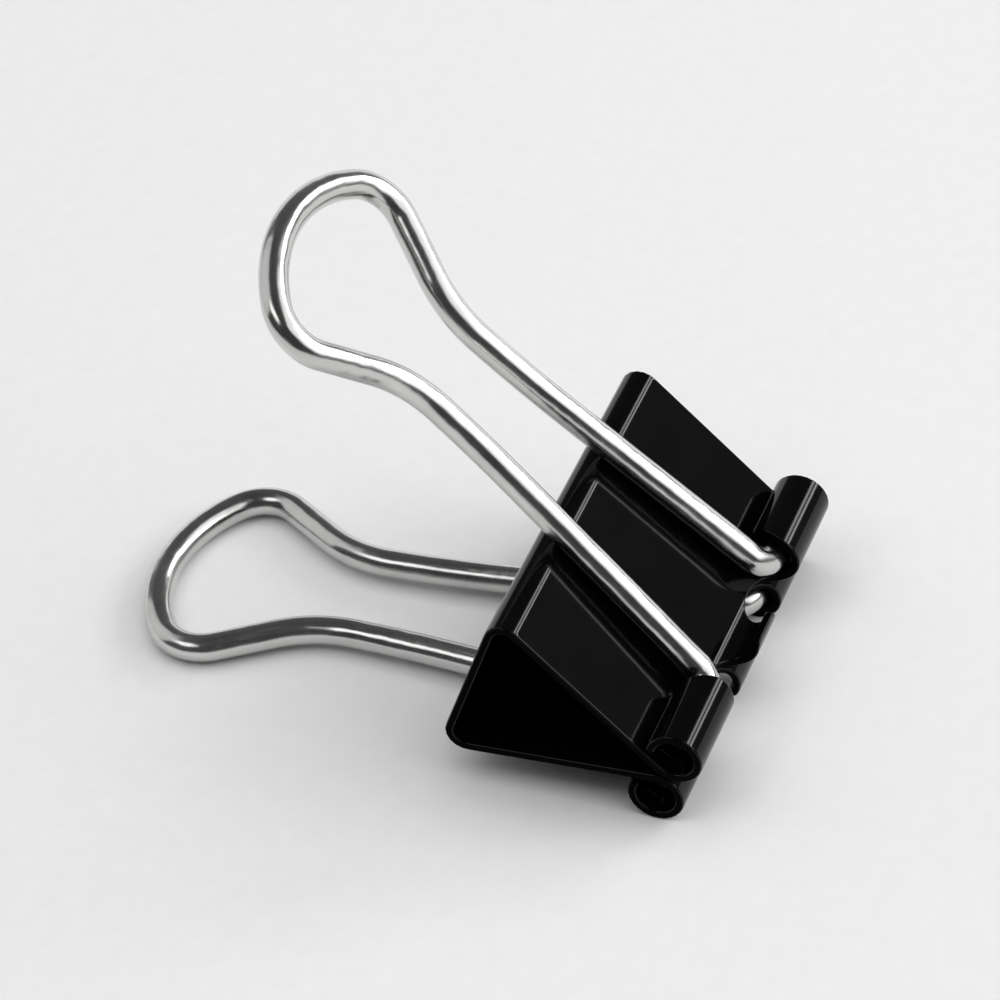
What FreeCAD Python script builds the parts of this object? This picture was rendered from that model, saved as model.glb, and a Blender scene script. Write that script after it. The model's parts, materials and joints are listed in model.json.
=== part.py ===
import FreeCAD, Part
import math
import os

# Small binder clip, 19 mm wide, lying on a table with its mouth shut.
# Millimetres, +Z up, X along the width of the clip, the mouth faces -Y.
# The origin is the middle of the footprint, on the table.

# folded body
body_width = 19.0
body_depth = 10.2            # from the knuckle axes to the outside of the back wall
sheet = 0.42                 # thickness of the spring steel with its enamel
jaw_angle = math.radians(24.0)   # each jaw from the middle plane
bend_radius = 1.0            # outside radius of the two folds
mouth_gap = 0.06             # left between the shut jaws
# rolled lips
roll_radius = 1.38           # outside radius of a knuckle
seam_angle = math.radians(-15)   # where the rolled edge comes back to the jaw
notch_inside = 1.3           # notch sides, from the middle of the clip
notch_outside = 4.8
notch_root = 0.33            # deepest point of a notch, behind the knuckle axis
notch_widest = -1.05         # the rounded bottom of a notch is full width here
notch_side_end = math.radians(212)  # the straight sides of a notch reach this far round
notch_flare = 1.0            # extra width of a notch at the rolled edge
tongue_end = math.radians(148)   # the middle tongue stops part of the way round
tongue_corner = 0.5
# wire handles
wire_radius = 0.70
rest_gap = 0.02              # wire to fold at rest
handle_length = 28.65        # knuckle axis to the middle of the wire at the loop's end
end_radius = 7.4
end_turn = math.radians(39)
shoulder_radius = 2.25
flank_angle = math.radians(31.8)
flank_length = 2.95
neck_radius = 6.6
neck_tilt = math.radians(1.0)
leg_tilt = math.radians(5.1)
bow_radius = 75.0
elbow_radius = 1.15
foot_end = 8.2

# derived sizes, in the frame of the clip: x along the width, y towards the back wall,
# z from the middle plane towards the upper jaw, zero at the mouth
half_width = body_width / 2
bore_radius = roll_radius - sheet
axis_height = roll_radius + mouth_gap / 2
fold_y = body_depth - bend_radius


def fold_height():
    """Height of the fold's centre above the middle plane."""
    start_y = bore_radius * math.sin(jaw_angle)
    start_z = axis_height - bore_radius * math.cos(jaw_angle)
    along = (fold_y + -bend_radius * math.sin(jaw_angle) - start_y) / math.cos(jaw_angle)
    top = start_z + along * math.sin(jaw_angle)
    return top - bend_radius * math.cos(jaw_angle)


fold_z = fold_height()


def rest_angle():
    """Angle of a handle from the middle plane as its legs rest on the fold."""
    rise = fold_z - axis_height
    reach = math.hypot(fold_y, rise)
    need = bend_radius + wire_radius + rest_gap
    return math.atan2(rise, fold_y) + math.asin(need / reach)


handle_angle = rest_angle()


def at(y, z, x=-half_width):
    return FreeCAD.Vector(x, y, z)


def polar(center, radius, angle):
    return center[0] + radius * math.cos(angle), center[1] + radius * math.sin(angle)


def arc(center, radius, first, last):
    """Edge of an arc about center in the y, z plane."""
    points = [polar(center, radius, a) for a in (first, (first + last) / 2, last)]
    return Part.Arc(*[at(*p) for p in points]).toShape()


def line(first, last):
    return Part.makeLine(at(*first), at(*last))


def jaw_profile():
    """Closed outline of the sheet from the fold to the rolled edge."""
    fold = (fold_y, fold_z)
    roll = (0.0, axis_height)
    lean = math.pi / 2 + jaw_angle
    start = jaw_angle - math.pi / 2
    wound = seam_angle - 2 * math.pi
    edges = [
        arc(fold, bend_radius, 0, lean),
        line(polar(fold, bend_radius, lean), polar(roll, bore_radius, start)),
        arc(roll, bore_radius, start, wound),
        line(polar(roll, bore_radius, wound), polar(roll, roll_radius, wound)),
        arc(roll, roll_radius, wound, start),
        line(polar(roll, roll_radius, start), polar(fold, bend_radius - sheet, lean)),
        arc(fold, bend_radius - sheet, lean, 0),
        line((body_depth - sheet, fold_z), (body_depth, fold_z)),
    ]
    return Part.Face(Part.Wire(edges))


def sector(first, last, x_first, x_last):
    """Ring sector that takes away the rolled sheet between two angles."""
    roll = (0.0, axis_height)
    inside = bore_radius - 0.15
    outside = roll_radius + 0.15
    edges = [
        arc(roll, outside, first, last),
        line(polar(roll, outside, last), polar(roll, inside, last)),
        arc(roll, inside, last, first),
        line(polar(roll, inside, first), polar(roll, outside, first)),
    ]
    solid = Part.Face(Part.Wire(edges)).extrude(FreeCAD.Vector(x_last - x_first, 0, 0))
    solid.translate(FreeCAD.Vector(x_first + half_width, 0, 0))
    return solid


def box(x0, x1, y0, y1, z0, z1):
    return Part.makeBox(x1 - x0, y1 - y0, z1 - z0, FreeCAD.Vector(x0, y0, z0))


def upright(points, low, high):
    """Straight prism on an outline in the x, y plane."""
    corners = [FreeCAD.Vector(x, y, low) for x, y in points]
    face = Part.Face(Part.makePolygon(corners + corners[:1]))
    return face.extrude(FreeCAD.Vector(0, 0, high - low))


def notch():
    """Round-bottomed cut for one handle leg, on the +X side."""
    middle = FreeCAD.Vector((notch_inside + notch_outside) / 2, notch_widest, -0.5)
    across = (notch_outside - notch_inside) / 2
    deep = notch_root - notch_widest
    oval = Part.Ellipse(middle, max(across, deep), min(across, deep)).toShape()
    if deep > across:
        oval.rotate(middle, FreeCAD.Vector(0, 0, 1), 90)
    bottom = Part.Face(Part.Wire([oval])).extrude(FreeCAD.Vector(0, 0, axis_height + 0.5))
    start = seam_angle - math.radians(5)
    sides = sector(start, notch_side_end, notch_inside, notch_outside)
    back = roll_radius + 0.07
    flare = upright([(notch_inside + 0.2, -0.2), (notch_outside, -0.2),
                     (notch_outside + notch_flare, back), (notch_inside + 0.2, back)],
                    axis_height - 0.42, axis_height + roll_radius + 0.5)
    return bottom.fuse([sides, flare])


def tongue_trim():
    """Shortens the middle tongue and rounds its two corners."""
    trim = sector(seam_angle - math.radians(5), tongue_end, -notch_inside - 0.1, notch_inside + 0.1)
    top = axis_height + roll_radius * math.sin(tongue_end)
    for side in (-1, 1):
        edge = side * notch_inside
        inner = edge - side * tongue_corner
        block = box(min(inner, edge + side * 0.1), max(inner, edge + side * 0.1),
                    -roll_radius - 0.3, -0.3, top - tongue_corner, top + 0.5)
        rod = Part.makeCylinder(tongue_corner, 3, FreeCAD.Vector(inner, -3, top - tongue_corner),
                                FreeCAD.Vector(0, 1, 0))
        trim = trim.fuse(block.cut(rod))
    return trim


def upper_jaw():
    jaw = jaw_profile().extrude(FreeCAD.Vector(body_width, 0, 0))
    right = notch()
    left = right.mirror(FreeCAD.Vector(0, 0, 0), FreeCAD.Vector(1, 0, 0))
    return jaw.cut([right, left, tongue_trim()])


def back_wall():
    return box(-half_width, half_width, body_depth - sheet, body_depth, -fold_z, fold_z)


def handle_path():
    """Edges of half a handle in its own plane: u along X, v from the knuckle axis outwards."""
    turns = [
        (end_radius, -end_turn),
        (shoulder_radius, -(math.pi / 2 + flank_angle - end_turn)),
        (flank_length, None),
        (neck_radius, flank_angle + neck_tilt),
        (bow_radius, leg_tilt - neck_tilt),
        (None, None),
        (elbow_radius, math.pi / 2 - leg_tilt),
    ]
    u, v, heading = 0.0, handle_length, 0.0
    pieces = []
    for size, turn in turns:
        if size is None:
            drop = v - elbow_radius * (1 - math.sin(leg_tilt))
            size, turn = drop / math.cos(leg_tilt), None
        if turn is None:
            end = (u + size * math.cos(heading), v + size * math.sin(heading))
            pieces.append([(u, v), end])
            u, v = end
            continue
        side = 1 if turn > 0 else -1
        cu = u - side * size * math.sin(heading)
        cv = v + side * size * math.cos(heading)
        points = []
        for part in (0, 0.5, 1):
            h = heading + turn * part
            points.append((cu + side * size * math.sin(h), cv - side * size * math.cos(h)))
        pieces.append(points)
        u, v = points[-1]
        heading += turn
    pieces.append([(u, v), (foot_end, v)])
    return pieces


def upper_handle():
    def place(p, side):
        return FreeCAD.Vector(side * p[0], p[1] * math.cos(handle_angle),
                              axis_height + p[1] * math.sin(handle_angle))

    edges = []
    for side in (-1, 1):
        for points in handle_path():
            ends = [place(p, side) for p in points]
            if len(ends) == 2:
                edges.append(Part.makeLine(ends[0], ends[1]))
            else:
                edges.append(Part.Arc(ends[0], ends[1], ends[2]).toShape())
    path = Part.Wire(Part.__sortEdges__(edges))
    ring = Part.makeCircle(wire_radius, FreeCAD.Vector(foot_end, 0, axis_height),
                           FreeCAD.Vector(1, 0, 0))
    solid = path.makePipeShell([Part.Wire(ring)], True, False)
    if solid.Volume < 0:
        solid.reverse()
    return solid


def other_side(shape):
    return shape.mirror(FreeCAD.Vector(0, 0, 0), FreeCAD.Vector(0, 0, 1))


def to_table(shapes):
    """Lays the clip on the table: lower knuckles and lower loop touch it."""
    slope = math.asin((roll_radius - wire_radius) / handle_length)
    lean = handle_angle - slope
    low_y = axis_height * math.sin(lean)
    low_z = -axis_height * math.cos(lean)
    front = min(low_y, -low_y) - roll_radius
    back = low_y + handle_length * math.cos(slope) + wire_radius
    shift = FreeCAD.Vector(0, -(front + back) / 2, roll_radius - low_z)
    placed = {}
    for name, shape in shapes.items():
        turned = shape.copy()
        turned.rotate(FreeCAD.Vector(0, 0, 0), FreeCAD.Vector(1, 0, 0), math.degrees(lean))
        turned.translate(shift)
        placed[name] = turned
    return placed


jaw = upper_jaw()
handle = upper_handle()
pieces = to_table({
    "spine": back_wall(),
    "upper_jaw": jaw,
    "lower_jaw": other_side(jaw),
    "upper_handle": handle,
    "lower_handle": other_side(handle),
})
os.makedirs("parts", exist_ok=True)
for name, shape in pieces.items():
    if not shape.isValid() or len(shape.Solids) != 1:
        raise ValueError("bad solid: " + name)
    shape.Solids[0].exportStep("parts/" + name + ".step")
    print(name, round(shape.Volume, 3))
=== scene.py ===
"""Looks for a small binder clip: a folded, enamelled spring steel body and two plated wire handles.

The body is drawn as flat sheet with its cut outline, then bent along the fold, the jaw and the rolled
knuckle. The handles are round wire swept along their bends. Millimetres are turned into metres by the
frame of the clip, which is worked out from the joints.
"""

import json
import math

import bpy
from mathutils import Matrix, Vector
from mathutils.geometry import delaunay_2d_cdt

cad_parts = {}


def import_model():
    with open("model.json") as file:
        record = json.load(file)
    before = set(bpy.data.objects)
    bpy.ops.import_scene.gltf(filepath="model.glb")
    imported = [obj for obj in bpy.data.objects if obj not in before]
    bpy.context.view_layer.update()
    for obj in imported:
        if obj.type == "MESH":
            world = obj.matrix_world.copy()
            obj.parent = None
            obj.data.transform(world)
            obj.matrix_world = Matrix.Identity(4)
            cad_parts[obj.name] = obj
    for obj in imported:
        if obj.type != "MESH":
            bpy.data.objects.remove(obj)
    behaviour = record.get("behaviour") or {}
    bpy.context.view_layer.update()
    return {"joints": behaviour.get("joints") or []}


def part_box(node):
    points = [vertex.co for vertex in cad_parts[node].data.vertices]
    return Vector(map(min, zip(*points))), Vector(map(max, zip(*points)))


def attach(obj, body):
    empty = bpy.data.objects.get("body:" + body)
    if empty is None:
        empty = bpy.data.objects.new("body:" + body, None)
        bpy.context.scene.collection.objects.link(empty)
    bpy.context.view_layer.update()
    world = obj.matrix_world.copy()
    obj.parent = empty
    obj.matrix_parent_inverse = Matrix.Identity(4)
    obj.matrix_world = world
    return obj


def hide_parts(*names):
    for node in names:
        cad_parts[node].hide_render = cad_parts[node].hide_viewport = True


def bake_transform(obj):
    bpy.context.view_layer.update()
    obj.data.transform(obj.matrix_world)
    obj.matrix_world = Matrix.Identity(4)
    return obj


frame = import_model()

MM = 0.001

# folded body, in millimetres
BODY_WIDTH = 19.0
SHEET = 0.42
JAW_ANGLE = math.radians(24.0)
BEND_RADIUS = 1.0                 # outside of the folds
WALL_STUB = 1.0                   # part of the back wall that is made with each jaw
EDGE_ROUND = 0.11                 # rounding of the enamel over a cut edge
CORNER_ROUND = 0.22               # rounding of the sheet's own corners
# rolled lips: angles are taken round the knuckle axis, from the clip's depth direction
ROLL_RADIUS = 1.38                # outside of a knuckle
ROLL_END = math.radians(-15 - 360)
NOTCH_MIDDLE = 3.05               # from the middle of the clip
NOTCH_HALF = 1.75                 # half width
NOTCH_ROOT = 0.33                 # depth of the notch's root, behind the knuckle axis
NOTCH_WIDEST = -1.05              # depth at which the rounded root becomes straight sides
FLARE_START = -0.2                # depth at which the sides begin to open towards the rolled edge
FLARE = 0.80                      # by which a notch is wider at the rolled edge, on its outer side
TONGUE_END = math.radians(148 - 360)
TONGUE_CORNER = 0.5
# wire handles: bend radii are those of the wire's middle line
WIRE_RADIUS = 0.70
HANDLE_LENGTH = 28.65             # from the knuckle axis to the end of the loop
END_RADIUS = 7.4
END_TURN = math.radians(39)
SHOULDER_RADIUS = 2.25
FLANK_ANGLE = math.radians(31.8)
FLANK_LENGTH = 2.95
NECK_RADIUS = 6.6
NECK_TILT = math.radians(1.0)
LEG_TILT = math.radians(5.1)
BOW_RADIUS = 75.0
ELBOW_RADIUS = 1.15
FOOT_END = 8.2
WIRE_END_ROUND = 0.12             # rounding of the wire's cut ends
# mesh density
ROW_STEP = 0.30                   # along the flat sheet
COLUMN_STEP = 0.30                # across it
FINE_STEP = 0.14                  # along the edges of notches and tongue
TURN_STEP = math.radians(5)       # round the sheet's bends
NOTCH_STEPS = 28
EDGE_STEPS = 4                    # over one rounded cut edge
GRID_MARGIN = 0.09                # least distance from a grid point to the outline
WIRE_SIDES = 48
WIRE_STEP = 0.16
WIRE_END_STEPS = 4
CAP_LENGTH = 0.2                  # of the far end's pattern coordinate
SEAM_TOLERANCE = 1e-6
INSIDE_ONLY = 1                   # delaunay_2d_cdt: keep what lies inside the outline
MERGE_DISTANCE = 1e-7


def joint_place(name):
    """Position of a joint's axis, in millimetres."""
    return next(Vector(j["pos_m"]) / MM for j in frame["joints"] if j["name"] == name)


# The frame of the clip: x along the width, y from the knuckles to the back wall, z to the upper jaw.
# The handles turn about the knuckles' axes, and the jaws about the outside of the back wall at each fold.
upper_fold = joint_place("upper_jaw_opens")
lower_fold = joint_place("lower_jaw_opens")
upper_knuckle = joint_place("upper_handle_swings")
lower_knuckle = joint_place("lower_handle_swings")
MOUTH = (upper_knuckle + lower_knuckle) / 2
ACROSS = Vector((1, 0, 0))
DEPTH = ((upper_fold + lower_fold) / 2 - MOUTH).normalized()
HEIGHT = ACROSS.cross(DEPTH)
TO_ROW = Matrix((ACROSS, DEPTH, HEIGHT)).transposed()
AXIS_HEIGHT = (upper_knuckle - MOUTH).length
BODY_DEPTH = ((upper_fold + lower_fold) / 2 - MOUTH).length
FOLD_Y = BODY_DEPTH - BEND_RADIUS
FOLD_Z = (upper_fold - lower_fold).length / 2
HALF_WIDTH = BODY_WIDTH / 2


def place(point):
    """A point of the clip's frame in millimetres, as a point of the row frame in metres."""
    return (TO_ROW @ Vector(point) + MOUTH) * MM


# ---------------------------------------------------------------- bent sheet


class SheetLine:
    """Middle line of the bent sheet, from the back wall over the fold and the jaw to the rolled edge."""

    def __init__(self):
        self.bend = BEND_RADIUS - SHEET / 2
        self.roll = ROLL_RADIUS - SHEET / 2
        self.lean = math.pi / 2 + JAW_ANGLE
        self.touch = JAW_ANGLE - math.pi / 2
        jaw_start = Vector((FOLD_Y + self.bend * math.cos(self.lean),
                            FOLD_Z + self.bend * math.sin(self.lean)))
        jaw_end = Vector((self.roll * math.cos(self.touch),
                          AXIS_HEIGHT + self.roll * math.sin(self.touch)))
        self.jaw_start = jaw_start
        self.jaw_run = (jaw_end - jaw_start).normalized()
        self.to_fold = WALL_STUB
        self.to_jaw = self.to_fold + self.bend * self.lean
        self.to_roll = self.to_jaw + (jaw_end - jaw_start).length
        self.length = self.at_turn(ROLL_END)

    def at_turn(self, angle):
        """Distance along the line of an angle round the knuckle axis."""
        return self.to_roll + self.roll * (self.touch - angle)

    def at(self, s):
        """Point, direction and outward normal at a distance along the line, as y and z."""
        if s <= self.to_fold:
            point = Vector((FOLD_Y + self.bend, FOLD_Z - self.to_fold + s))
            return point, Vector((0, 1)), Vector((1, 0))
        if s <= self.to_jaw:
            a = (s - self.to_fold) / self.bend
            normal = Vector((math.cos(a), math.sin(a)))
            return Vector((FOLD_Y, FOLD_Z)) + normal * self.bend, Vector((-normal.y, normal.x)), normal
        if s <= self.to_roll:
            run = self.jaw_run
            return self.jaw_start + run * (s - self.to_jaw), run, Vector((run.y, -run.x))
        a = self.touch - (s - self.to_roll) / self.roll
        out = Vector((math.cos(a), math.sin(a)))
        return Vector((0, AXIS_HEIGHT)) + out * self.roll, Vector((out.y, -out.x)), -out

    def rows(self):
        """Distances of the mesh rows: close in the bends, wider on the flats."""
        spans = [
            (0, self.to_fold, ROW_STEP),
            (self.to_fold, self.to_jaw, self.bend * TURN_STEP),
            (self.to_jaw, self.to_roll, ROW_STEP),
            (self.to_roll, self.length, self.roll * TURN_STEP),
        ]
        found = []
        for first, last, step in spans:
            count = max(1, round((last - first) / step))
            found += [first + (last - first) * i / count for i in range(count)]
        return found


def along(first, last, step):
    """Points of a straight stretch of an outline, without its last point."""
    first, last = Vector(first), Vector(last)
    count = max(1, math.ceil((last - first).length / step))
    return [first.lerp(last, i / count) for i in range(count)]


def corner(point, before, after, radius, steps=5):
    """Rounded corner of an outline between the directions to its neighbours."""
    point = Vector(point)
    a = (Vector(before) - point).normalized()
    b = (Vector(after) - point).normalized()
    half = a.angle(b) / 2
    reach = radius / math.tan(half)
    center = point + (a + b).normalized() * (radius / math.sin(half))
    first, last = point + a * reach - center, point + b * reach - center
    turn = first.angle_signed(last)
    return [center + Matrix.Rotation(-turn * i / steps, 2) @ first for i in range(steps + 1)]


def half_outline(line):
    """Cut edge of the jaw from the side at the back wall to the middle of the tongue, as s and x."""
    free = line.length
    knuckle = NOTCH_MIDDLE + NOTCH_HALF
    flare_from = line.at_turn(-2 * math.pi + math.acos(FLARE_START / line.roll))
    inner = knuckle + FLARE
    tongue = NOTCH_MIDDLE - NOTCH_HALF
    tongue_top = line.at_turn(TONGUE_END)
    widest = line.at_turn(-math.acos(NOTCH_WIDEST / line.roll))
    points = along((0, HALF_WIDTH), (free - CORNER_ROUND, HALF_WIDTH), ROW_STEP)
    points += corner((free, HALF_WIDTH), (0, HALF_WIDTH), (free, 0), CORNER_ROUND)
    points += along((free, HALF_WIDTH - CORNER_ROUND), (free, inner + CORNER_ROUND), COLUMN_STEP)[1:]
    points += corner((free, inner), (free, HALF_WIDTH), (flare_from, knuckle), CORNER_ROUND)
    points += along((free - CORNER_ROUND, inner), (flare_from, knuckle), ROW_STEP)[1:]
    points += along((flare_from, knuckle), (widest, knuckle), FINE_STEP)
    for i in range(NOTCH_STEPS + 1):
        q = math.pi * i / NOTCH_STEPS
        y = NOTCH_WIDEST + (NOTCH_ROOT - NOTCH_WIDEST) * math.sin(q)
        s = line.at_turn(-math.acos(y / line.roll))
        points.append(Vector((s, NOTCH_MIDDLE + NOTCH_HALF * math.cos(q))))
    points += along((widest, tongue), (tongue_top - TONGUE_CORNER, tongue), FINE_STEP)[1:]
    points += corner((tongue_top, tongue), (0, tongue), (tongue_top, 0), TONGUE_CORNER, 8)
    points += along((tongue_top, tongue - TONGUE_CORNER), (tongue_top, 0), FINE_STEP)[1:]
    points.append(Vector((tongue_top, 0)))
    return points


def jaw_outline(line):
    """Whole cut outline of one jaw, counter-clockwise in s and x, starting on the seam."""
    half = half_outline(line)
    other = [Vector((p.x, -p.y)) for p in reversed(half[:-1])]
    seam = along((0, -HALF_WIDTH), (0, HALF_WIDTH), COLUMN_STEP)[1:]
    return list(reversed(half + other + seam))


def outward(outline, i, is_seam):
    """Direction in which an outline point is rounded off: none along a seam."""
    before, here, after = outline[i - 1], outline[i], outline[(i + 1) % len(outline)]
    sides = []
    for first, last in ((before, here), (here, after)):
        if is_seam(first) and is_seam(last):
            sides.append(None)
            continue
        run = (last - first).normalized()
        sides.append(Vector((run.y, -run.x)))
    real = [s for s in sides if s is not None]
    if not real:
        return Vector((0, 0))
    if len(real) == 1:
        return Vector((0, real[0].y))
    total = (real[0] + real[1]).normalized()
    return total / max(0.7, total.dot(real[0]))


def inside(outline, point, margin):
    """True if a point lies within the outline and no nearer to it than margin."""
    crossings = 0
    for i, b in enumerate(outline):
        a = outline[i - 1]
        span = b - a
        t = max(0.0, min(1.0, (point - a).dot(span) / span.length_squared))
        if (a + span * t - point).length < margin:
            return False
        if (a.y > point.y) != (b.y > point.y):
            if point.x < a.x + (point.y - a.y) * span.x / span.y:
                crossings += 1
    return crossings % 2 == 1


def bent_sheet(name, outline, rows, at, is_seam, mirror=False):
    """Solid sheet metal on a flat outline, bent along at(s), with every cut edge rounded."""
    count = len(outline)
    rims = [outward(outline, i, is_seam) for i in range(count)]
    inner = [p - r * EDGE_ROUND for p, r in zip(outline, rims)]
    reach = int(HALF_WIDTH / COLUMN_STEP)
    columns = [i * COLUMN_STEP for i in range(-reach, reach + 1)]
    grid = [Vector((s, x)) for s in rows for x in columns]
    grid = [p for p in grid if inside(inner, p, GRID_MARGIN)]
    flat = inner + grid
    made = delaunay_2d_cdt(flat, [], [list(range(count))], INSIDE_ONLY, MERGE_DISTANCE)
    if len(made[0]) != len(flat):
        raise ValueError(name + ": the flat pattern crosses itself")
    half = SHEET / 2
    verts, normals, pattern, worn = [], [], [], []

    def add(p, height, normal_share, rim, wear):
        """Vertex over a point of the flat sheet: its normal leans from the face's normal towards the rim."""
        (y, z), run, normal = at(p.x)
        up = 1 if height > 0 else -1
        tip = Vector((rim.y, run.x * rim.x, run.y * rim.x))
        facing = Vector((0, *normal)) * (normal_share * up)
        facing += tip * math.sqrt(max(0.0, 1 - normal_share ** 2))
        spot = Vector((p.y, y + normal.x * height, z + normal.y * height))
        if mirror:
            spot.z, facing.z = -spot.z, -facing.z
        verts.append(place(spot))
        normals.append((TO_ROW @ facing).normalized())
        pattern.append((p.x, p.y, height))
        worn.append(wear)
        return len(verts) - 1

    top, bottom = (
        [add(p, height, 1, Vector((0, 0)), 0.5 if i < count else 0) for i, p in enumerate(flat)]
        for height in (half, -half)
    )
    loops = [top[:count]]
    levels = [(k, 1) for k in range(1, EDGE_STEPS + 1)] + [(k, -1) for k in range(EDGE_STEPS, 0, -1)]
    for k, up in levels:
        turn = math.pi / 2 * k / EDGE_STEPS
        height = up * (half - EDGE_ROUND * (1 - math.cos(turn)))
        loops.append([
            add(p + r * EDGE_ROUND * math.sin(turn), height, math.cos(turn), r, 1)
            for p, r in zip(inner, rims)
        ])
    loops.append(bottom[:count])
    faces = [[top[made[3][i][0]] for i in f] for f in made[2]]
    faces += [[bottom[made[3][i][0]] for i in reversed(f)] for f in made[2]]
    cut_from = len(faces) + (EDGE_STEPS - 1) * count
    cut_bands = 3                 # the flat of the cut and the last rounded band on each side of it
    for upper, lower in zip(loops, loops[1:]):
        for i in range(count):
            j = (i + 1) % count
            faces.append([upper[i], lower[i], lower[j], upper[j]])
    if mirror:
        faces = [list(reversed(f)) for f in faces]
    sheet = mesh_object(name, verts, faces, normals, pattern, worn)
    sheet.data.materials.append(black)
    sheet.data.materials.append(matt)
    for face in sheet.data.polygons[cut_from:cut_from + cut_bands * count]:
        face.material_index = 1
    return sheet


def mesh_object(name, verts, faces, normals, pattern, worn):
    """Object with exact normals and with the flat pattern's coordinates and the edge wear as attributes."""
    mesh = bpy.data.meshes.new(name)
    mesh.from_pydata(verts, [], faces)
    mesh.shade_smooth()
    mesh.normals_split_custom_set_from_vertices(normals)
    flat = mesh.attributes.new("pattern", "FLOAT_VECTOR", "POINT")
    flat.data.foreach_set("vector", [c for p in pattern for c in p])
    edge = mesh.attributes.new("edge", "FLOAT", "POINT")
    edge.data.foreach_set("value", worn)
    made = bpy.data.objects.new(name, mesh)
    bpy.context.scene.collection.objects.link(made)
    return made


def jaw(name, mirror):
    """One jaw with its fold, its stub of back wall and its rolled lip."""
    line = SheetLine()
    return bent_sheet(name, jaw_outline(line), line.rows(), line.at,
                      lambda p: p.x < SEAM_TOLERANCE, mirror)


def back_plate(name):
    """Middle of the back wall, between the two seams."""
    tall = 2 * (FOLD_Z - WALL_STUB)
    outline = along((0, HALF_WIDTH), (0, -HALF_WIDTH), COLUMN_STEP)
    outline += along((0, -HALF_WIDTH), (tall, -HALF_WIDTH), ROW_STEP)
    outline += along((tall, -HALF_WIDTH), (tall, HALF_WIDTH), COLUMN_STEP)
    outline += along((tall, HALF_WIDTH), (0, HALF_WIDTH), ROW_STEP)
    rows = [i * ROW_STEP for i in range(1, int(tall / ROW_STEP))]

    def at(s):
        middle = FOLD_Y + BEND_RADIUS - SHEET / 2
        return Vector((middle, s - tall / 2)), Vector((0, 1)), Vector((1, 0))

    return bent_sheet(name, outline, rows, at,
                      lambda p: p.x < SEAM_TOLERANCE or p.x > tall - SEAM_TOLERANCE)


# ---------------------------------------------------------------- wire handles


def handle_line():
    """Half of a handle's middle line from the loop's end to the foot: points and directions in its plane.

    An arc is given as radius and turn, a straight run as length and None. The leg is as long as it
    has to be to reach the elbow, and the foot ends at FOOT_END.
    """
    turns = [
        (END_RADIUS, -END_TURN),
        (SHOULDER_RADIUS, -(math.pi / 2 + FLANK_ANGLE - END_TURN)),
        (FLANK_LENGTH, None),
        (NECK_RADIUS, FLANK_ANGLE + NECK_TILT),
        (BOW_RADIUS, LEG_TILT - NECK_TILT),
        (None, None),
        (ELBOW_RADIUS, math.pi / 2 - LEG_TILT),
        (FOOT_END, None),
    ]
    u, v, heading = 0.0, HANDLE_LENGTH, 0.0
    line = [(u, v, heading)]
    for size, turn in turns:
        if size is None:
            size = (v - ELBOW_RADIUS * (1 - math.sin(LEG_TILT))) / math.cos(LEG_TILT)
        if turn is None:
            length = size - u if size == FOOT_END else size
            count = math.ceil(length / (2 * WIRE_STEP))
            for i in range(1, count + 1):
                line.append((u + length * i / count * math.cos(heading),
                             v + length * i / count * math.sin(heading), heading))
            u, v = line[-1][:2]
            continue
        side = 1 if turn > 0 else -1
        cu = u - side * size * math.sin(heading)
        cv = v + side * size * math.cos(heading)
        count = math.ceil(max(size * abs(turn) / WIRE_STEP, abs(turn) / math.radians(4)))
        for i in range(1, count + 1):
            h = heading + turn * i / count
            line.append((cu + side * size * math.sin(h), cv - side * size * math.cos(h), h))
        u, v, heading = line[-1]
    return line


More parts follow.
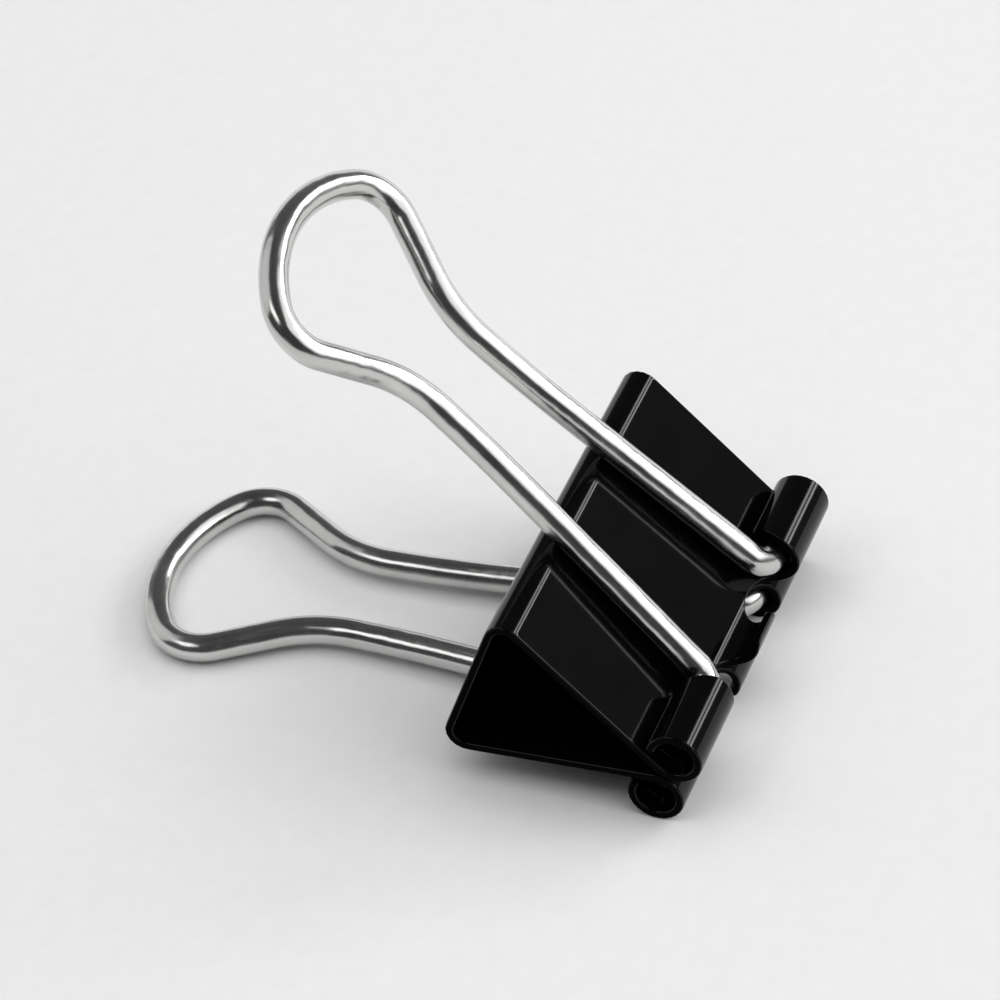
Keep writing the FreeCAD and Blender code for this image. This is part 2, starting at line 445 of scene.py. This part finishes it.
def handle(name, mirror):
    """Round wire along the whole handle, with slightly rounded cut ends."""
    half = handle_line()
    path = [(-u, v, -h) for u, v, h in reversed(half[1:])] + half
    slant = (upper_handle_tip() - Vector((0, AXIS_HEIGHT))).normalized()
    verts, normals, pattern, worn, rings = [], [], [], [], []
    travelled = 0.0

    def ring(u, v, h, radius, lean, length):
        """Ring of vertices across the wire, whose normals lean along the wire at its rounded ends."""
        run = Vector((math.cos(h), math.sin(h)))
        side = Vector((-run.y, run.x))
        made = []
        for i in range(WIRE_SIDES):
            a = 2 * math.pi * i / WIRE_SIDES
            flat = side * math.cos(a)
            spot = Vector((u + flat.x * radius, v + flat.y * radius, math.sin(a) * radius))
            face = Vector((flat.x, flat.y, math.sin(a))) * math.cos(lean)
            face += Vector((run.x, run.y, 0)) * math.sin(lean)
            made.append(len(verts))
            for store, value, origin in ((verts, spot, AXIS_HEIGHT), (normals, face, 0)):
                y = value.y * slant.x - value.z * slant.y
                z = origin + value.y * slant.y + value.z * slant.x
                value = Vector((value.x, y, -z if mirror else z))
                store.append(place(value) if store is verts else (TO_ROW @ value).normalized())
            pattern.append((length, a * WIRE_RADIUS, 0))
            worn.append(0.0)
        rings.append(made)

    for k in range(0, WIRE_END_STEPS):
        turn = math.pi / 2 * (1 - k / WIRE_END_STEPS)
        u, v, h = path[0]
        shift = WIRE_END_ROUND * (1 - math.sin(turn))
        ring(u + shift, v, h, WIRE_RADIUS - WIRE_END_ROUND * (1 - math.cos(turn)), -turn, shift)
    previous = path[0]
    for point in path[1:-1]:
        travelled += math.hypot(point[0] - previous[0], point[1] - previous[1])
        previous = point
        ring(*point, WIRE_RADIUS, 0, travelled)
    for k in range(WIRE_END_STEPS - 1, -1, -1):
        turn = math.pi / 2 * (1 - k / WIRE_END_STEPS)
        u, v, h = path[-1]
        shift = WIRE_END_ROUND * (1 - math.sin(turn))
        ring(u - shift, v, h, WIRE_RADIUS - WIRE_END_ROUND * (1 - math.cos(turn)), turn,
             travelled + CAP_LENGTH)
    faces = [list(reversed(rings[0])), list(rings[-1])]
    for before, after in zip(rings, rings[1:]):
        for i in range(WIRE_SIDES):
            j = (i + 1) % WIRE_SIDES
            faces.append([before[i], before[j], after[j], after[i]])
    if mirror:
        faces = [list(reversed(f)) for f in faces]
    return mesh_object(name, verts, faces, normals, pattern, worn)


def upper_handle_tip():
    """Middle of the wire at the upper loop's end, as y and z, from the highest point of its CAD."""
    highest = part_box("upper_handle")[1].z / MM
    rise = highest - WIRE_RADIUS - upper_knuckle.z
    turned = Vector((0, math.sqrt(HANDLE_LENGTH ** 2 - rise ** 2), rise))
    local = TO_ROW.transposed() @ turned
    return Vector((local.y, local.z + AXIS_HEIGHT))


# ---------------------------------------------------------------- materials


class Nodes:
    """Short way to write a material's nodes."""

    def __init__(self, name):
        self.material = bpy.data.materials.new(name)
        self.material.use_nodes = True
        self.tree = self.material.node_tree
        self.shader = self.tree.nodes["Principled BSDF"]

    def add(self, kind, **inputs):
        node = self.tree.nodes.new(kind)
        for key, value in inputs.items():
            self.give(node, key, value)
        return node

    def give(self, node, key, value):
        socket = node.inputs[int(key[1:])] if key[0] == "i" and key[1:].isdigit() else node.inputs[key]
        if isinstance(value, bpy.types.NodeSocket):
            self.tree.links.new(value, socket)
        else:
            socket.default_value = value

    def attribute(self, name, output):
        node = self.tree.nodes.new("ShaderNodeAttribute")
        node.attribute_name = name
        return node.outputs[output]

    def stretch(self, vector, scale):
        node = self.add("ShaderNodeMapping", Vector=vector, Scale=scale)
        return node.outputs[0]

    def noise(self, vector, scale, detail=3.0, rough=0.5):
        node = self.add("ShaderNodeTexNoise", Vector=vector, Scale=scale, Detail=detail, Roughness=rough)
        return node.outputs["Fac"]

    def ramp(self, value, stops):
        node = self.add("ShaderNodeValToRGB", Fac=value)
        ramp = node.color_ramp
        while len(ramp.elements) < len(stops):
            ramp.elements.new(0.5)
        for element, (where, grey) in zip(ramp.elements, stops):
            element.position = where
            colour = grey if isinstance(grey, tuple) else (grey, grey, grey)
            element.color = (*colour, 1)
        return node.outputs["Color"]

    def math(self, operation, a, b):
        node = self.tree.nodes.new("ShaderNodeMath")
        node.operation = operation
        self.give(node, "i0", a)
        self.give(node, "i1", b)
        return node.outputs[0]

    def mix(self, share, a, b):
        node = self.tree.nodes.new("ShaderNodeMix")
        node.data_type = "RGBA"
        self.give(node, "i0", share)
        self.give(node, "i6", a)
        self.give(node, "i7", b)
        return node.outputs[2]

    def bump(self, height, distance, strength=1.0, normal=None):
        node = self.add("ShaderNodeBump", Height=height, Distance=distance, Strength=strength)
        if normal is not None:
            self.give(node, "Normal", normal)
        return node.outputs[0]


def enamel():
    """Gloss black stoving enamel: faint orange peel, hairline scuffs, thinner in specks along its edges."""
    m = Nodes("black_enamel")
    where = m.attribute("pattern", "Vector")
    edge = m.attribute("edge", "Fac")
    cloud = m.noise(where, 0.55, 4)
    speck = m.noise(where, 9.0, 2)
    body = m.ramp(cloud, [(0.3, (0.0009, 0.0009, 0.0010)), (0.7, (0.0016, 0.0016, 0.0017))])
    thin = m.math("MULTIPLY", edge, m.ramp(speck, [(0.60, 0.0), (0.76, 0.35)]))
    m.give(m.shader, "Base Color", m.mix(thin, body, (0.020, 0.0195, 0.019, 1)))
    scuff = m.noise(m.stretch(where, (0.9, 14.0, 1.0)), 1.6, 5, 0.65)
    rough = m.math("ADD", m.ramp(cloud, [(0.25, 0.075), (0.8, 0.10)]),
                   m.ramp(scuff, [(0.60, 0.0), (0.78, 0.06)]))
    m.give(m.shader, "Roughness", rough)
    peel = m.noise(where, 2.6, 2)
    grain = m.noise(where, 11.0, 2)
    soft = m.bump(peel, 0.000002, 0.5)
    m.give(m.shader, "Normal", m.bump(grain, 0.0000003, 0.4, soft))
    m.shader.inputs["IOR"].default_value = 1.29
    return m.material


def cut_edge():
    """Enamel that has drawn thin and matt over the sheared edges of the sheet."""
    m = Nodes("black_cut_edge")
    where = m.attribute("pattern", "Vector")
    tear = m.noise(m.stretch(where, (3.0, 3.0, 26.0)), 1.4, 3, 0.6)
    speck = m.noise(where, 6.0, 2)
    m.give(m.shader, "Base Color", m.mix(m.ramp(speck, [(0.62, 0.0), (0.78, 0.5)]),
                                         (0.0007, 0.0007, 0.0008, 1), (0.004, 0.0039, 0.0038, 1)))
    m.give(m.shader, "Roughness", m.ramp(tear, [(0.3, 0.34), (0.7, 0.52)]))
    m.give(m.shader, "Normal", m.bump(tear, 0.000006, 0.5))
    m.shader.inputs["IOR"].default_value = 1.07
    return m.material


def plating():
    """Bright nickel on drawn wire: fine lines along it, a little haze, and slightly uneven."""
    m = Nodes("bright_nickel")
    where = m.attribute("pattern", "Vector")
    haze = m.noise(where, 0.35, 4)
    drawn = m.noise(m.stretch(where, (0.25, 9.0, 1.0)), 1.5, 4, 0.6)
    m.give(m.shader, "Base Color", m.ramp(haze, [(0.3, (0.57, 0.566, 0.557)), (0.7, (0.69, 0.685, 0.676))]))
    m.give(m.shader, "Roughness", m.math("ADD", m.ramp(haze, [(0.3, 0.16), (0.75, 0.25)]),
                                         m.ramp(drawn, [(0.45, 0.0), (0.75, 0.07)])))
    uneven = m.noise(m.add("ShaderNodeTexCoord").outputs["Object"], 420.0, 2)
    m.give(m.shader, "Normal", m.bump(drawn, 0.000004, 0.5, m.bump(uneven, 0.00016, 0.6)))
    m.shader.inputs["Metallic"].default_value = 1.0
    return m.material


def floor_paper():
    """Plain pale paper under the clip."""
    m = Nodes("pale_floor")
    where = m.add("ShaderNodeTexCoord").outputs["Object"]
    fibre = m.noise(where, 900.0, 3)
    m.give(m.shader, "Base Color", m.ramp(fibre, [(0.3, 0.86), (0.7, 0.88)]))
    m.shader.inputs["Roughness"].default_value = 0.9
    m.shader.inputs["Specular IOR Level"].default_value = 0.0
    return m.material


# ---------------------------------------------------------------- studio


def facing(azimuth, elevation):
    """Unit vector towards an azimuth and elevation: azimuth 0 is the clip's front, 90 its +X side."""
    a, e = math.radians(azimuth), math.radians(elevation)
    return Vector((math.sin(a) * math.cos(e), -math.cos(a) * math.cos(e), math.sin(e)))


def soft_box(name, azimuth, elevation, distance, spread, brightness, mirrored=True):
    """Flat light that fills spread degrees, across and up, as seen from the clip.

    Brightness is its radiance, as a mirror would show it. A light that isn't mirrored only lights.
    """
    data = bpy.data.lights.new(name, "AREA")
    data.shape = "RECTANGLE"
    data.size, data.size_y = (2 * distance * math.tan(math.radians(a) / 2) for a in spread)
    data.energy = brightness * math.pi * data.size * data.size_y
    light = bpy.data.objects.new(name, data)
    bpy.context.scene.collection.objects.link(light)
    out = facing(azimuth, elevation)
    light.location = out * distance
    light.rotation_euler = out.to_track_quat("Z", "Y").to_euler()
    light.visible_glossy = mirrored
    return light


DARK_SIDE = facing(-100, 35)      # darkest part of the room
FLOOR_REACH = 2.0                 # metres
CAMERA_AZIMUTH = -65.56
CAMERA_ELEVATION = 40.86
CAMERA_ROLL = math.radians(-5.74)
CAMERA_DISTANCE = 0.2266          # metres
CAMERA_LENS = 173.2               # millimetres
CAMERA_TARGET = Vector((0.00045, -0.00266, 0.00859))

# Azimuth, elevation, distance in metres, degrees across and up, brightness
MIRRORED_LIGHTS = {
    "front_box": (9, 39, 0.6, (58, 50), 1.2),
    "front_core": (12, 30, 0.55, (28, 16), 3.4),
    "low_tube": (47, 24.5, 0.55, (20, 5.0), 10.5),
    "high_tube": (54, 33.0, 0.55, (20, 5.0), 8.5),
    "camera_side_box": (-128, 51, 0.55, (26, 18), 1.8),
    "rear_box": (180, 30, 0.6, (50, 56), 0.65),
    "rear_side_box": (112, 7, 0.6, (60, 14), 0.9),
    "side_strip": (70, 4, 0.6, (26, 14), 1.1),
    "low_side_box": (46, 13, 0.6, (44, 26), 0.08),
}
FLOOR_FILL = (0, 89, 0.9, (60, 60), 1.4)      # not seen in the clip's reflections


def floor():
    """Plain pale floor, far wider than the clip, at the level on which the clip stands."""
    reach = FLOOR_REACH
    mesh = bpy.data.meshes.new("floor")
    mesh.from_pydata([(-reach, -reach, 0), (reach, -reach, 0), (reach, reach, 0), (-reach, reach, 0)],
                     [], [(0, 1, 2, 3)])
    made = bpy.data.objects.new("floor", mesh)
    bpy.context.scene.collection.objects.link(made)
    made.data.materials.append(floor_paper())


def world():
    """Dim room, darkest towards DARK_SIDE and a little brighter away from it."""
    made = bpy.data.worlds.new("room")
    made.use_nodes = True
    nodes = made.node_tree.nodes
    where = nodes.new("ShaderNodeTexCoord")
    towards = nodes.new("ShaderNodeVectorMath")
    towards.operation = "DOT_PRODUCT"
    towards.inputs[1].default_value = DARK_SIDE
    ramp = nodes.new("ShaderNodeMapRange")
    ramp.interpolation_type = "SMOOTHSTEP"
    for key, value in (("From Min", -0.9), ("From Max", 0.75), ("To Min", 0.13), ("To Max", 0.05)):
        ramp.inputs[key].default_value = value
    links = made.node_tree.links
    links.new(where.outputs["Generated"], towards.inputs[0])
    links.new(towards.outputs["Value"], ramp.inputs["Value"])
    links.new(ramp.outputs["Result"], nodes["Background"].inputs["Color"])
    bpy.context.scene.world = made


def camera():
    """Long lens from the clip's -X side and front, above it, slightly rolled."""
    back = facing(CAMERA_AZIMUTH, CAMERA_ELEVATION)
    data = bpy.data.cameras.new("camera")
    data.lens = CAMERA_LENS
    made = bpy.data.objects.new("camera", data)
    bpy.context.scene.collection.objects.link(made)
    turned = back.to_track_quat("Z", "Y").to_matrix() @ Matrix.Rotation(CAMERA_ROLL, 3, "Z")
    made.matrix_world = Matrix.Translation(CAMERA_TARGET + back * CAMERA_DISTANCE) @ turned.to_4x4()
    bpy.context.scene.camera = made


black = enamel()
matt = cut_edge()
nickel = plating()

plate = back_plate("back_plate")
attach(plate, "spine")
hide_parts("spine")

# Each jaw's sheet is built in place with its transform applied to its vertices, and the jaw's own part is
# hidden;
# each handle's wire rides on its handle, whose part is hidden too.
for side, mirror in (("upper", False), ("lower", True)):
    shell = jaw(side + "_jaw_sheet", mirror)
    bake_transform(shell)
    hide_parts(side + "_jaw")

    wire = handle(side + "_handle_wire", mirror)
    wire.data.materials.append(nickel)
    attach(wire, side + "_handle")
    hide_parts(side + "_handle")

floor()
world()
for name, light in MIRRORED_LIGHTS.items():
    soft_box(name, *light)
soft_box("floor_fill", *FLOOR_FILL, mirrored=False)
camera()
bpy.context.scene.view_settings.view_transform = "Standard"
